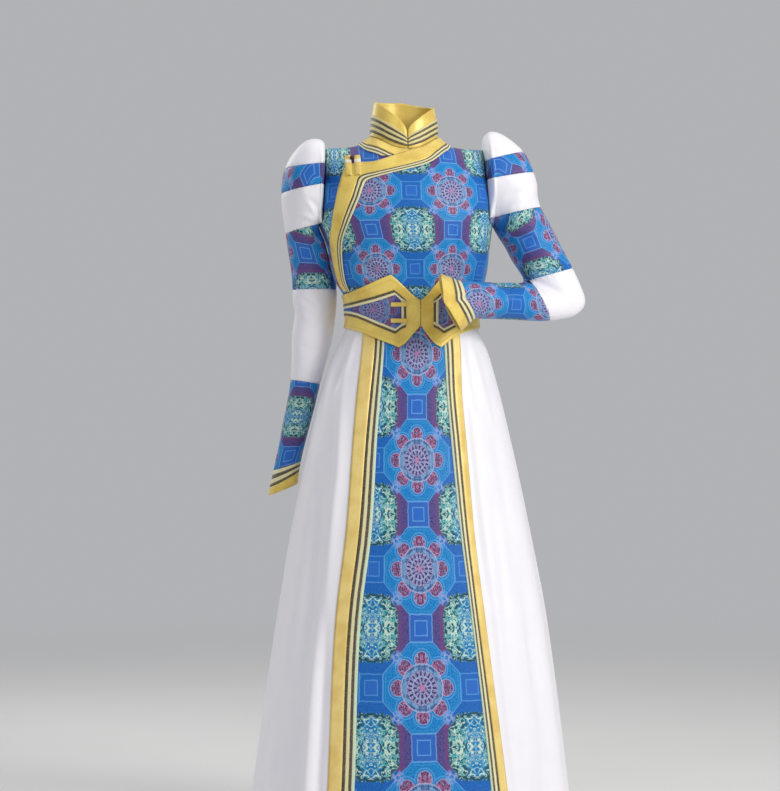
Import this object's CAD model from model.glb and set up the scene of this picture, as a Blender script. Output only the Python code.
"""The looks of a long deel-style robe, worn and hollow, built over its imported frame.

Metres, +Z up, the front faces -Y, +X is the wearer's left. "Down" is metres below the neck's base. Each
region of cloth is a grid of points with a place in the cloth at each; a piece is a part of a grid, cut at
its seams, and made into a thin shell.
"""

import copy
import functools
import math

import bpy
import numpy as np
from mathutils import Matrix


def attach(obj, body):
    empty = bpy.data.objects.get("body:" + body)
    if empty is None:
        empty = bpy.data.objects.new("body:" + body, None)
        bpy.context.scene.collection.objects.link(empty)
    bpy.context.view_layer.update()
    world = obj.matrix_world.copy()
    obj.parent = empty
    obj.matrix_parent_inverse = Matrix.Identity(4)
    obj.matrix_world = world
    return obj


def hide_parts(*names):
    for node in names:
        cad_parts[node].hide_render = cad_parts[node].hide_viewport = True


# Thicknesses, and how far the trims lie over the panels
CLOTH = 0.0013
TRIM = 0.0009
ON_PANEL = 0.0013
ON_BODICE = 0.0026
ON_WAIST = 0.0046
ON_BELT = 0.0013

# The body of the robe, a section at each height
BODY_COLUMNS = ("down", "half_width", "front", "back", "centre_x")
BODY = [
    (0.150, 0.1700, 0.124, 0.104, 0.0030),
    (0.200, 0.1575, 0.119, 0.101, 0.0090),
    (0.235, 0.1530, 0.112, 0.097, 0.0100),
    (0.260, 0.1465, 0.107, 0.094, 0.0115),
    (0.290, 0.1320, 0.101, 0.090, 0.0150),
    (0.320, 0.1275, 0.098, 0.088, 0.0160),
    (0.351, 0.1290, 0.101, 0.092, 0.0155),
    (0.396, 0.1490, 0.116, 0.110, 0.0137),
    (0.461, 0.1700, 0.136, 0.138, 0.0117),
    (0.554, 0.1930, 0.158, 0.166, 0.0115),
    (0.610, 0.2055, 0.171, 0.180, 0.0119),
    (0.764, 0.2354, 0.203, 0.212, 0.0142),
    (0.881, 0.2557, 0.222, 0.232, 0.0170),
    (1.035, 0.2777, 0.244, 0.252, 0.0175),
    (1.254, 0.3045, 0.270, 0.278, 0.0172),
    (1.360, 0.3165, 0.282, 0.290, 0.0172),
]
BODY_ROUNDNESS = 2.2
WAIST = 0.325
HEM = 1.360
CHEST = 0.150

# The upper part of the bodice, from the chest to the shoulder line
ARMHOLE_X_LOW = 0.162
ARMHOLE_X_TOP = 0.153
SHOULDER_ROUNDNESS = 1.7
SHOULDER_LINE = [
    (0.0, 0.031), (0.045, 0.030), (0.057, 0.0265), (0.066, 0.0205), (0.0746, 0.0130), (0.0826, 0.0070),
    (0.0905, 0.0030), (0.105, 0.0003), (0.120, -0.0010), (0.153, -0.0030),
]
NECK_X = 0.066
NECK_FRONT = 0.066
NECK_BACK = 0.050

# Where the overlapping front ends, and the band along that edge
OVERLAP_TOP = [(-0.170, -0.068), (-0.0934, -0.057), (-0.0284, -0.041), (0.036, -0.024), (0.071, 0.0)]
OVERLAP_SIDE = [
    (0.064, -0.0934), (0.102, -0.1088), (0.153, -0.1270), (0.183, -0.1335), (0.224, -0.1315),
    (0.264, -0.1230), (0.330, -0.1050),
]
OVERLAP_AT_NECK = 0.030
OVERLAP_COLUMNS = ("outer_x", "outer_z", "middle_x", "middle_z", "inner_x", "inner_z")
OVERLAP = [
    (-0.0311, -0.0243, -0.0284, -0.0480, -0.0287, -0.0570),
    (-0.0640, -0.0350, -0.0620, -0.0560, -0.0600, -0.0655),
    (-0.1010, -0.0370, -0.0930, -0.0640, -0.0803, -0.0728),
    (-0.1200, -0.0480, -0.1020, -0.0830, -0.0890, -0.0880),
    (-0.1316, -0.0801, -0.1090, -0.1050, -0.0950, -0.1050),
    (-0.1390, -0.1150, -0.1190, -0.1300, -0.1070, -0.1340),
    (-0.1450, -0.1500, -0.1275, -0.1560, -0.1180, -0.1610),
    (-0.1470, -0.1820, -0.1335, -0.1840, -0.1250, -0.1860),
    (-0.1420, -0.2150, -0.1325, -0.2160, -0.1250, -0.2170),
    (-0.1365, -0.2420, -0.1285, -0.2420, -0.1220, -0.2430),
    (-0.1290, -0.2640, -0.1230, -0.2640, -0.1170, -0.2650),
    (-0.1185, -0.2810, -0.1140, -0.2810, -0.1090, -0.2820),
]
OVERLAP_NECK_COLUMNS = ("angle", "middle_x", "middle_z", "inner_x", "inner_z")
OVERLAP_NECK = [
    (44, 0.0560, -0.0120, 0.0690, -0.0160),
    (26, 0.0370, -0.0275, 0.0460, -0.0335),
    (8, 0.0130, -0.0370, 0.0180, -0.0450),
]
OVERLAP_ALONG_NECK = 4

# The band round the base of the neck and the stand collar
NECK_BAND_GOLD = (0.0010, 0.0146)
NECK_BAND_RIBBON = (0.0150, 0.0240)
NECK_BAND_END = math.radians(62)
COLLAR_TOP = [
    (0, 0.026), (5, 0.037), (13, 0.047), (29, 0.062), (50, 0.076), (72, 0.086), (100, 0.090), (180, 0.094),
]
COLLAR_TOP_X = 0.0590
COLLAR_TOP_FRONT = 0.060
COLLAR_TOP_BACK = 0.052
COLLAR_LEFT_LOWER = 0.010
COLLAR_OPENING = math.radians(0.9)
COLLAR_RIBBON = (0.12, 0.62)
COLLAR_FOOT = 0.0009

# The skirt: seams of the front panel and its trims, at the front
PANEL_COLUMNS = (
    "down", "gold_left", "ribbon_left", "field_left", "field_right", "ribbon_right", "gold_right",
)
PANEL = [
    (0.325, -0.0835, -0.0615, -0.0445, 0.0615, 0.0785, 0.0935),
    (0.367, -0.0875, -0.0645, -0.0473, 0.0641, 0.0815, 0.0969),
    (0.491, -0.1038, -0.0795, -0.0602, 0.0670, 0.0825, 0.0985),
    (0.548, -0.1098, -0.0860, -0.0660, 0.0705, 0.0865, 0.1030),
    (0.752, -0.1291, -0.1059, -0.0830, 0.0860, 0.1005, 0.1150),
    (0.863, -0.1440, -0.1212, -0.0990, 0.0985, 0.1117, 0.1262),
    (1.210, -0.1660, -0.1417, -0.1187, 0.1342, 0.1506, 0.1686),
    (1.360, -0.1740, -0.1500, -0.1270, 0.1470, 0.1640, 0.1830),
]
# Each fold: its angle, its spread, how far out it stands at the hem, and how far down it starts
FOLDS = [
    (-44, 5, 0.009, 0.60), (-54, 5, -0.009, 0.55), (-66, 7, 0.010, 0.42), (-79, 6, -0.006, 0.50),
    (47, 5, -0.010, 0.50), (60, 7, 0.010, 0.60), (74, 6, -0.009, 0.55),
    (-104, 8, 0.014, 0.42), (-119, 7, -0.016, 0.40), (-134, 8, 0.016, 0.40), (-149, 7, -0.015, 0.38),
    (-164, 8, 0.017, 0.40), (180, 7, -0.016, 0.38), (163, 8, 0.016, 0.42), (147, 7, -0.015, 0.40),
    (131, 8, 0.017, 0.38), (116, 7, -0.013, 0.42), (102, 8, 0.013, 0.45),
]

# The belt: at each x of a half, how far down its top, ribbon_top, field_top, field_low, ribbon_low and
# low edge lie
BELT_LEFT = [
    (0.0205, 0.3005, 0.3120, 0.3160, 0.3340, 0.3380, 0.3500),
    (0.0085, 0.2922, 0.3080, 0.3120, 0.3380, 0.3430, 0.3650),
    (0.0015, 0.2850, 0.3040, 0.3090, 0.3390, 0.3480, 0.3750),
    (-0.0065, 0.2740, 0.3000, 0.3050, 0.3420, 0.3530, 0.3860),
    (-0.0155, 0.2620, 0.2905, 0.3005, 0.3475, 0.3585, 0.3925),
    (-0.0247, 0.2519, 0.2805, 0.2900, 0.3570, 0.3665, 0.3880),
    (-0.0430, 0.2600, 0.2868, 0.2965, 0.3490, 0.3585, 0.3800),
    (-0.0634, 0.2690, 0.2930, 0.3030, 0.3395, 0.3490, 0.3716),
    (-0.0780, 0.2748, 0.2968, 0.3068, 0.3320, 0.3415, 0.3652),
    (-0.0926, 0.2805, 0.3010, 0.3105, 0.3245, 0.3340, 0.3590),
    (-0.1020, 0.2838, 0.3033, 0.3125, 0.3208, 0.3302, 0.3560),
    (-0.1100, 0.2865, 0.3050, 0.3138, 0.3184, 0.3276, 0.3530),
]
BELT_RIGHT = [
    (0.0215, 0.3005, 0.3120, 0.3160, 0.3340, 0.3380, 0.3500),
    (0.0310, 0.2922, 0.3080, 0.3120, 0.3380, 0.3430, 0.3650),
    (0.0375, 0.2850, 0.3040, 0.3090, 0.3390, 0.3480, 0.3750),
    (0.0450, 0.2740, 0.3000, 0.3050, 0.3420, 0.3530, 0.3860),
    (0.0541, 0.2620, 0.2905, 0.3005, 0.3475, 0.3585, 0.3923),
    (0.0630, 0.2527, 0.2810, 0.2905, 0.3560, 0.3655, 0.3850),
    (0.0780, 0.2600, 0.2868, 0.2965, 0.3480, 0.3572, 0.3740),
    (0.0950, 0.2680, 0.2930, 0.3028, 0.3385, 0.3478, 0.3650),
    (0.1065, 0.2735, 0.2965, 0.3062, 0.3320, 0.3412, 0.3610),
    (0.1180, 0.2790, 0.3005, 0.3100, 0.3250, 0.3344, 0.3570),
    (0.1270, 0.2825, 0.3028, 0.3120, 0.3212, 0.3305, 0.3550),
    (0.1350, 0.2855, 0.3046, 0.3136, 0.3186, 0.3278, 0.3530),
]
BELT_ROUND = (0.0, 0.2870, 0.3052, 0.3140, 0.3182, 0.3272, 0.3515)
BELT_BACK_CELLS = 20
TAB_ENDS = (-0.0345, -0.0080)
TAB_HALF_HEIGHT = 0.0042
TAB_DOWNS = {"belt_tab_upper": 0.3085, "belt_tab_lower": 0.3410}

# The sleeves: a ring at each station, from the shoulder to the cuff: inner_x, inner_z (the underarm),
# outer_x, outer_z, centre_y, half_depth, turn in degrees, and how far its front runs to a point
RIGHT_SLEEVE = [
    (-0.1695, -0.1520, -0.1580, 0.0100, 0.000, 0.0650, 0, 0),
    (-0.1680, -0.1535, -0.1722, 0.0157, 0.000, 0.0655, 0, 0),
    (-0.1670, -0.1555, -0.1945, 0.0099, 0.002, 0.0660, 0, 0),
    (-0.1661, -0.1580, -0.2164, -0.0122, 0.005, 0.0660, 0, 0),
    (-0.1650, -0.1610, -0.2298, -0.0367, 0.008, 0.0655, 0, 0),
    (-0.1635, -0.1650, -0.2362, -0.0585, 0.014, 0.0645, 0, 0),
    (-0.1613, -0.1700, -0.2380, -0.0845, 0.020, 0.0630, 0, 0),
    (-0.1575, -0.1780, -0.2366, -0.1151, 0.027, 0.0600, 0, 0),
    (-0.1505, -0.1920, -0.2293, -0.1642, 0.036, 0.0560, 0, 0),
    (-0.1415, -0.2150, -0.2232, -0.2018, 0.045, 0.0520, 0, 0),
    (-0.1325, -0.2439, -0.2160, -0.2460, 0.052, 0.0480, 0, 0),
    (-0.1275, -0.2703, -0.2143, -0.2717, 0.056, 0.0460, 0, 0),
    (-0.1270, -0.2948, -0.2134, -0.2952, 0.058, 0.0440, 0, 0),
    (-0.1285, -0.3204, -0.2095, -0.3240, 0.060, 0.0425, 0, 0),
    (-0.1345, -0.3656, -0.2150, -0.3658, 0.062, 0.0420, 0, 0),
    (-0.1440, -0.4049, -0.2152, -0.4070, 0.064, 0.0410, 0, 0),
    (-0.1590, -0.4600, -0.2175, -0.4560, 0.068, 0.0390, 0, 0),
    (-0.1680, -0.4994, -0.2235, -0.4954, 0.072, 0.0370, 0, 0),
    (-0.1785, -0.5407, -0.2325, -0.5406, 0.076, 0.0350, 0, 0),
    (-0.1890, -0.5821, -0.2398, -0.5830, 0.080, 0.0335, 0, 0),
    (-0.1925, -0.5960, -0.2450, -0.6050, 0.0815, 0.0330, 0, 0),
    (-0.1955, -0.6120, -0.2500, -0.6300, 0.083, 0.0332, 0, 0),
    (-0.1990, -0.6320, -0.2575, -0.6640, 0.084, 0.0340, 0, 0),
    (-0.2015, -0.6556, -0.2600, -0.6792, 0.085, 0.0350, 0, 0),
]
LEFT_SLEEVE = [
    (0.1750, -0.1520, 0.1570, 0.0235, 0.000, 0.0650, 0, 0),
    (0.1758, -0.1530, 0.1704, 0.0334, 0.000, 0.0655, 0, 0),
    (0.1765, -0.1545, 0.1898, 0.0295, 0.000, 0.0660, 0, 0),
    (0.1772, -0.1560, 0.2149, 0.0134, 0.000, 0.0665, 0, 0),
    (0.1780, -0.1578, 0.2371, -0.0085, 0.000, 0.0665, 0, 0),
    (0.1792, -0.1600, 0.2510, -0.0358, 0.000, 0.0665, 0, 0),
    (0.1810, -0.1630, 0.2607, -0.0657, 0.000, 0.0655, 0, 0),
    (0.1840, -0.1675, 0.2625, -0.0912, 0.000, 0.0640, 0, 0),
    (0.1885, -0.1750, 0.2691, -0.1141, 0.000, 0.0620, 0, 0),
    (0.1990, -0.1925, 0.2915, -0.1569, -0.005, 0.0580, 0, 0),
    (0.2114, -0.2177, 0.3065, -0.1877, -0.010, 0.0550, 0, 0),
    (0.2224, -0.2355, 0.3181, -0.2124, -0.015, 0.0520, 0, 0),
    (0.2305, -0.2500, 0.3284, -0.2332, -0.020, 0.0500, 0, 0),
    (0.2322, -0.2545, 0.3414, -0.2647, -0.025, 0.0490, 5, 0),
    (0.2326, -0.2570, 0.3498, -0.2942, -0.030, 0.0480, 10, 0),
    (0.2318, -0.2592, 0.3437, -0.3139, -0.036, 0.0460, 15, 0),
    (0.2300, -0.2612, 0.3228, -0.3292, -0.043, 0.0430, 20, 0),
    (0.2265, -0.2626, 0.2941, -0.3351, -0.053, 0.0400, 25, 0),
    (0.2215, -0.2638, 0.2630, -0.3386, -0.065, 0.0380, 28, 0),
    (0.2050, -0.2655, 0.2220, -0.3381, -0.084, 0.0360, 29, 0),
    (0.1687, -0.2670, 0.1726, -0.3369, -0.107, 0.0360, 26, 0.002),
    (0.1271, -0.2663, 0.1348, -0.3368, -0.128, 0.0365, 21, 0.010),
    (0.0905, -0.2653, 0.1192, -0.3373, -0.145, 0.0390, 16, 0.0235),
    (0.0723, -0.2600, 0.1048, -0.3490, -0.158, 0.0430, 13, 0.0290),
    (0.0518, -0.2541, 0.0904, -0.3606, -0.170, 0.0465, 10, 0.036),
]
CUFF_WAY = {"right": (0.0, 0.0, -1.0), "left": (-0.862, -0.507, 0.0)}
# Seams of the sleeves' colour blocks, each a line in the front view: inner_x, inner_z, outer_x, outer_z
RIGHT_SEAMS = [
    (-0.1548, -0.0358, -0.2321, -0.0418),
    (-0.1548, -0.0744, -0.2407, -0.0901),
    (-0.1529, -0.1477, -0.2330, -0.1673),
    (-0.1322, -0.2741, -0.2193, -0.2755),
    (-0.1587, -0.4604, -0.2217, -0.4508),
]
LEFT_SEAMS = [
    (0.1577, -0.0261, 0.2279, -0.0077),
    (0.1618, -0.0628, 0.2501, -0.0470),
    (0.1659, -0.1378, 0.2639, -0.1152),
    (0.2336, -0.2604, 0.3278, -0.2338),
    (0.2400, -0.2594, 0.2760, -0.3374),
]
BLOCKS = ("cap", "upper_brocade", "upper_white", "lower_brocade", "elbow_white", "forearm_brocade")
BLOCK_ROWS = {
    "right": ((0, 12), (0, 12), (0, 13), (0, 15), (9, 21), (14, 22)),
    "left": ((0, 12), (0, 12), (0, 13), (0, 17), (9, 21), (17, 23)),
}
CUFF_ROWS = {"right": (22, 23, 24), "left": (23, 24, 25)}
SLEEVE_STEPS = 8
SLEEVE_SIDES = 96
# The place in the front view where each brocade block shows a known place of the pattern: x, z, u, v
BLOCK_ANCHORS = {
    ("right", "upper_brocade"): (-0.1876, -0.0572, 1, 0),
    ("right", "lower_brocade"): (-0.1934, -0.2048, 1, 0),
    ("right", "forearm_brocade"): (-0.2070, -0.5246, 1, 1),
    ("left", "upper_brocade"): (0.1800, -0.0386, 1, 0),
    ("left", "lower_brocade"): (0.2357, -0.1849, 1, 0),
    ("left", "forearm_brocade"): (0.1224, -0.3095, 0, 0),
}

# The pattern's half period in metres: on the bodice and sleeves across and along, and on the skirt
BODICE_STEP = (0.0815, 0.0745)
SLEEVE_STEP = (0.080, 0.078)
BODICE_CENTRE = (0.0015, 0.0925)
SKIRT_STEP = [(0.325, 0.074), (0.404, 0.076), (0.604, 0.081), (0.805, 0.086), (1.023, 0.095), (1.36, 0.104)]
SKIRT_ROWS = [
    (0.20, -2.0), (0.4036, 0.0), (0.604, 2.0), (0.8049, 4.0), (1.0228, 6.0), (1.2392, 8.0),
    (1.40, 9.5),
]
SKIRT_CENTRE = [
    (0.325, 0.011), (0.404, 0.0113), (0.604, 0.0055), (0.805, 0.0059), (1.023, 0.0068),
    (1.36, 0.0125),
]
BELT_CENTRE = (-0.0662, 0.3190)

# Creases: x and z of both ends in the front view, width, height, and 1 for the back
CREASE_DEPTH = 1.6
BODICE_CREASES = [
    (0.088, -0.150, 0.093, -0.268, 0.0042, -0.0028, 0),
    (0.140, -0.120, 0.118, -0.185, 0.0080, -0.0022, 0),
    (0.152, -0.150, 0.132, -0.235, 0.0090, 0.0020, 0),
    (0.128, -0.170, 0.108, -0.262, 0.0080, -0.0020, 0),
    (-0.150, -0.110, -0.140, -0.060, 0.0080, -0.0020, 0),
    (0.060, -0.225, 0.125, -0.262, 0.0070, -0.0015, 0),
    (-0.100, -0.230, -0.045, -0.262, 0.0075, -0.0016, 0),
    (-0.090, -0.205, -0.030, -0.252, 0.0080, 0.0012, 0),
    (0.020, -0.262, 0.080, -0.240, 0.0070, 0.0012, 0),
    (-0.055, -0.150, -0.060, -0.275, 0.0040, -0.0020, 1),
    (0.070, -0.150, 0.076, -0.275, 0.0040, -0.0020, 1),
    (0.000, -0.010, 0.004, -0.300, 0.0020, -0.0008, 1),
    (0.130, -0.140, 0.090, -0.230, 0.0100, -0.0025, 1),
    (-0.125, -0.140, -0.085, -0.225, 0.0100, -0.0025, 1),
    (-0.080, -0.255, 0.020, -0.270, 0.0080, -0.0018, 1),
    (0.000, -0.235, 0.095, -0.258, 0.0090, 0.0015, 1),
]
RIGHT_CREASES = [
    (-0.166, -0.160, -0.148, -0.220, 0.0160, 0.0020, 0),
    (-0.160, -0.130, -0.200, -0.100, 0.0060, -0.0016, 0),
    (-0.162, -0.150, -0.215, -0.128, 0.0065, 0.0014, 0),
    (-0.158, -0.185, -0.205, -0.205, 0.0060, -0.0018, 0),
    (-0.150, -0.225, -0.200, -0.238, 0.0070, -0.0014, 0),
    (-0.140, -0.255, -0.190, -0.245, 0.0060, 0.0014, 0),
    (-0.205, -0.290, -0.165, -0.312, 0.0060, -0.0020, 0),
    (-0.208, -0.315, -0.170, -0.340, 0.0060, 0.0015, 0),
    (-0.150, -0.330, -0.185, -0.350, 0.0070, -0.0016, 0),
    (-0.205, -0.385, -0.165, -0.400, 0.0075, -0.0016, 0),
    (-0.155, -0.425, -0.195, -0.440, 0.0070, 0.0012, 0),
    (-0.175, -0.485, -0.215, -0.500, 0.0060, -0.0014, 0),
    (-0.185, -0.545, -0.228, -0.560, 0.0060, -0.0014, 0),
    (-0.205, -0.100, -0.225, -0.150, 0.0080, -0.0016, 1),
    (-0.150, -0.285, -0.205, -0.300, 0.0070, -0.0022, 1),
    (-0.145, -0.310, -0.200, -0.322, 0.0070, 0.0018, 1),
    (-0.145, -0.335, -0.190, -0.352, 0.0070, -0.0020, 1),
    (-0.165, -0.430, -0.205, -0.445, 0.0070, -0.0014, 1),
]
LEFT_CREASES = [
    (0.188, -0.100, 0.235, -0.085, 0.0070, -0.0015, 0),
    (0.185, -0.130, 0.225, -0.120, 0.0070, 0.0012, 0),
    (0.205, -0.170, 0.262, -0.190, 0.0065, -0.0017, 0),
    (0.235, -0.215, 0.290, -0.205, 0.0065, 0.0014, 0),
    (0.240, -0.248, 0.285, -0.240, 0.0055, -0.0020, 0),
    (0.245, -0.262, 0.300, -0.285, 0.0065, -0.0022, 0),
    (0.243, -0.268, 0.275, -0.312, 0.0060, -0.0020, 0),
    (0.240, -0.270, 0.292, -0.300, 0.0050, 0.0014, 0),
    (0.225, -0.272, 0.235, -0.305, 0.0055, -0.0020, 0),
    (0.205, -0.275, 0.185, -0.312, 0.0060, 0.0015, 0),
    (0.190, -0.278, 0.165, -0.318, 0.0060, -0.0017, 0),
    (0.155, -0.285, 0.140, -0.325, 0.0060, -0.0013, 0),
    (0.120, -0.280, 0.128, -0.325, 0.0060, 0.0010, 0),
    (0.250, -0.130, 0.270, -0.180, 0.0080, -0.0016, 1),
    (0.250, -0.240, 0.310, -0.265, 0.0080, -0.0020, 1),
    (0.255, -0.270, 0.315, -0.300, 0.0080, 0.0016, 1),
]
SKIRT_CREASES = [
    (-0.100, -0.350, -0.145, -0.480, 0.0090, -0.0030, 0),
    (-0.098, -0.350, -0.125, -0.450, 0.0080, 0.0020, 0),
    (-0.112, -0.380, -0.165, -0.860, 0.0120, 0.0036, 0),
    (-0.150, -0.420, -0.205, -1.000, 0.0160, -0.0030, 0),
    (-0.165, -0.900, -0.195, -1.330, 0.0100, -0.0040, 0),
    (-0.178, -0.880, -0.215, -1.340, 0.0140, 0.0042, 0),
    (0.096, -0.400, 0.129, -0.860, 0.0120, -0.0042, 0),
    (0.118, -0.700, 0.192, -1.400, 0.0130, -0.0044, 0),
    (0.110, -0.350, 0.130, -0.520, 0.0090, -0.0024, 0),
    (0.112, -0.360, 0.165, -0.560, 0.0120, 0.0020, 0),
    (0.150, -0.640, 0.205, -1.330, 0.0130, -0.0032, 0),
    (0.175, -0.560, 0.245, -1.340, 0.0160, 0.0030, 0),
    (0.135, -0.400, 0.285, -1.330, 0.0200, -0.0030, 0),
    (0.135, -0.420, 0.290, -1.340, 0.0200, 0.0060, 1),
    (0.120, -0.360, 0.230, -1.330, 0.0180, -0.0095, 1),
    (0.085, -0.360, 0.160, -1.330, 0.0190, 0.0085, 1),
    (0.045, -0.370, 0.085, -1.340, 0.0170, -0.0100, 1),
    (0.010, -0.360, 0.010, -1.330, 0.0190, 0.0080, 1),
    (-0.030, -0.370, -0.070, -1.340, 0.0180, -0.0095, 1),
    (-0.070, -0.360, -0.150, -1.330, 0.0190, 0.0085, 1),
    (-0.100, -0.380, -0.215, -1.340, 0.0180, -0.0095, 1),
    (-0.110, -0.400, -0.255, -1.320, 0.0190, 0.0060, 1),
]

# Colours as the eye sees them
GOLD = "F2D66E"
GOLD_SHADE = "D6B04A"
SKIRT_GOLD = "F4D986"
CREAM = "ECE4B4"
STRIPE = "45453C"
WHITE = "F4F2F7"
WARM = "E2D592"
ROYAL = "0E66BC"
NAVY = "10458E"
AZURE = "0C8CCB"
PLUM = "5A4A8C"
CRIMSON = "823A66"
ROSE = "B86488"
ROSE_LIGHT = "B4B0D4"
LILAC = "A4A2CA"
PALE_BLUE = "A6C8F0"
DOTS = "38285F"
TEAL = "3A9CA4"
GREEN = "144A52"
LINE = "64A8E4"
IVORY = "C6E0CE"
KNOT = "4A1512"

# The picture: the photo's size in pixels, metres in a pixel at the body, and where the camera stands
PHOTO = (780, 791)
PIXEL = 0.00195
CAMERA_TURN = math.radians(-6)
CAMERA_FAR = 4.5
CAMERA_AIM = (-0.02715, 0.00285, -0.48262)
SENSOR = 36.0
STUDIO_TONE = (0.96, 0.97, 1.0, 1)
STUDIO_STRENGTH = 0.46
FLOOR_REACH = 20.0
FLOOR_FADE = (3.6, 1.6)


def smooth(xs, ys, at):
    """A smooth curve through the points of xs and ys, read at at."""
    xs, ys, at = np.asarray(xs, float), np.asarray(ys, float), np.asarray(at, float)
    slopes = np.gradient(ys, xs)
    i = np.clip(np.searchsorted(xs, at) - 1, 0, len(xs) - 2)
    step = xs[i + 1] - xs[i]
    s = np.clip((at - xs[i]) / step, 0, 1)
    rise = ys[i + 1] - ys[i]
    bend = (slopes[i] * step - rise) * (1 - s) - (slopes[i + 1] * step - rise) * s
    return ys[i] + s * rise + s * (1 - s) * bend


def column(table, names, name):
    return [row[names.index(name)] for row in table]


@functools.lru_cache(maxsize=None)
def body(name, down):
    return float(smooth(column(BODY, BODY_COLUMNS, "down"), column(BODY, BODY_COLUMNS, name), down))


def unit(v):
    return v / np.maximum(np.linalg.norm(v, axis=-1, keepdims=True), 1e-12)


def shoulder_line(x):
    return np.interp(np.abs(x), *zip(*SHOULDER_LINE))


def fold_out(angle, down):
    """How far the folds move the skirt out at an angle in radians from the front."""
    out = 0.0
    if down < min(starts for _, _, _, starts in FOLDS):
        return out
    for middle, spread, deep, starts in FOLDS:
        off = (math.degrees(angle) - middle + 180) % 360 - 180
        grown = max(0.0, (down - starts) / (HEM - starts)) ** 1.2
        out += deep * grown * math.exp(-((off / spread) ** 2))
    return out


def body_point(angle, down):
    """The body's outer surface: angle 0 is the front and a quarter turn is the wearer's left."""
    power = 2 / BODY_ROUNDNESS
    s, c = math.sin(angle), math.cos(angle)
    deep = body("front", down) if c >= 0 else body("back", down)
    out = fold_out(angle, down)
    x = body("centre_x", down) + math.copysign(abs(s) ** power, s) * body("half_width", down)
    y = -math.copysign(abs(c) ** power, c) * deep
    return np.array([x + out * s, y - out * c, -down])


def angle_at(x, down):
    """The angle at which the front of the body has this x."""
    share = (x - body("centre_x", down)) / body("half_width", down)
    return math.copysign(math.asin(min(abs(share), 1) ** (BODY_ROUNDNESS / 2)), share)


def chest_depth(x, back):
    """How far the chest reaches from the armholes' plane at this x, at the chest's height."""
    share = min(abs(x - body("centre_x", CHEST)) / body("half_width", CHEST), 0.9999)
    return body("back" if back else "front", CHEST) * (1 - share**BODY_ROUNDNESS) ** (1 / BODY_ROUNDNESS)


def widened(x):
    """The x at the chest of the column that has this x at the shoulder line."""
    return x * ARMHOLE_X_LOW / ARMHOLE_X_TOP


def top_point(x, y):
    """The shoulders' surface over a place in plan."""
    deep = chest_depth(widened(x), y > 0)
    share = min(abs(y) / deep, 0.9999)
    rise = shoulder_line(x) + CHEST
    return np.array([x, y, -CHEST + rise * (1 - share**SHOULDER_ROUNDNESS) ** (1 / SHOULDER_ROUNDNESS)])


def front_point(x, z):
    """The front's surface at a place in the front view."""
    if z <= -CHEST:
        return body_point(angle_at(x, -z), -z)
    rise = shoulder_line(x) + CHEST
    share = min((z + CHEST) / rise, 0.9999)
    deep = chest_depth(x + (widened(x) - x) * share, False)
    return np.array([x, -deep * (1 - share**SHOULDER_ROUNDNESS) ** (1 / SHOULDER_ROUNDNESS), z])


def neck_edge(angle, out=0.0):
    """A place in plan round the neck's base, out metres outside it."""
    deep = NECK_FRONT if math.cos(angle) >= 0 else NECK_BACK
    return (NECK_X + out) * math.sin(angle), -(deep + out) * math.cos(angle)


def upper_point(x, share, side):
    """A point of the upper bodice, share of the way from the chest to the neck or shoulder line."""
    top_x = x * ARMHOLE_X_TOP / ARMHOLE_X_LOW
    hole = (NECK_BACK if side > 0 else NECK_FRONT) * math.sqrt(max(0, 1 - (top_x / NECK_X) ** 2))
    deep = chest_depth(x, side > 0)
    last = math.acos((hole / deep) ** (SHOULDER_ROUNDNESS / 2))
    s = math.sin(last * share) ** (2 / SHOULDER_ROUNDNESS)
    c = max(math.cos(last * share), 0) ** (2 / SHOULDER_ROUNDNESS)
    z = -CHEST + (shoulder_line(top_x) + CHEST) * s
    return np.array([x + (top_x - x) * min(1, s), side * deep * c, z])


class Patch:
    """Points, a normal and a place in the cloth at each, and the faces between them."""

    def __init__(self, points, normals, cloth, faces, flat):
        self.points, self.normals, self.cloth, self.faces = points, normals, cloth, faces
        self.flat = flat

    def clipped(self, origin, way, inset=0.00015):
        """What lies more than inset on the side of a plane that way points to."""
        way = unit(np.array(way, float))
        high = (self.points - np.array(origin, float)) @ way - inset
        every = np.concatenate([self.points, self.normals, self.cloth], 1)
        rows, faces, made, kept = [], [], {}, {}

        def old(i):
            if i not in kept:
                kept[i] = len(rows)
                rows.append(every[i])
            return kept[i]

        def new(i, j):
            key = (min(i, j), max(i, j))
            if key not in made:
                a, b = key
                s = high[a] / (high[a] - high[b])
                made[key] = len(rows)
                rows.append(every[a] + s * (every[b] - every[a]))
            return made[key]

        for face in self.faces:
            ring = []
            for i, j in zip(face, face[1:] + face[:1]):
                if high[i] >= 0:
                    ring.append(old(i))
                if (high[i] >= 0) != (high[j] >= 0):
                    ring.append(new(i, j))
            if len(ring) > 2:
                faces.append(tuple(ring))
        rows = np.array(rows)
        flat = tuple(np.ptp(rows[:, -2:], axis=0))
        return Patch(rows[:, :3], unit(rows[:, 3:6]), rows[:, 6:], faces, flat)

    def moved(self, out):
        """The same patch, out metres along its normals."""
        return Patch(self.points + self.normals * out, self.normals, self.cloth, self.faces, self.flat)


def nearest(points, facing, x, z, back):
    """The point at a place of the front view, on the near or far side."""
    hidden = facing < 0 if back else facing > 0
    return points[np.argmin((points[:, 0] - x) ** 2 + (points[:, 2] - z) ** 2 + hidden)]


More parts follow.
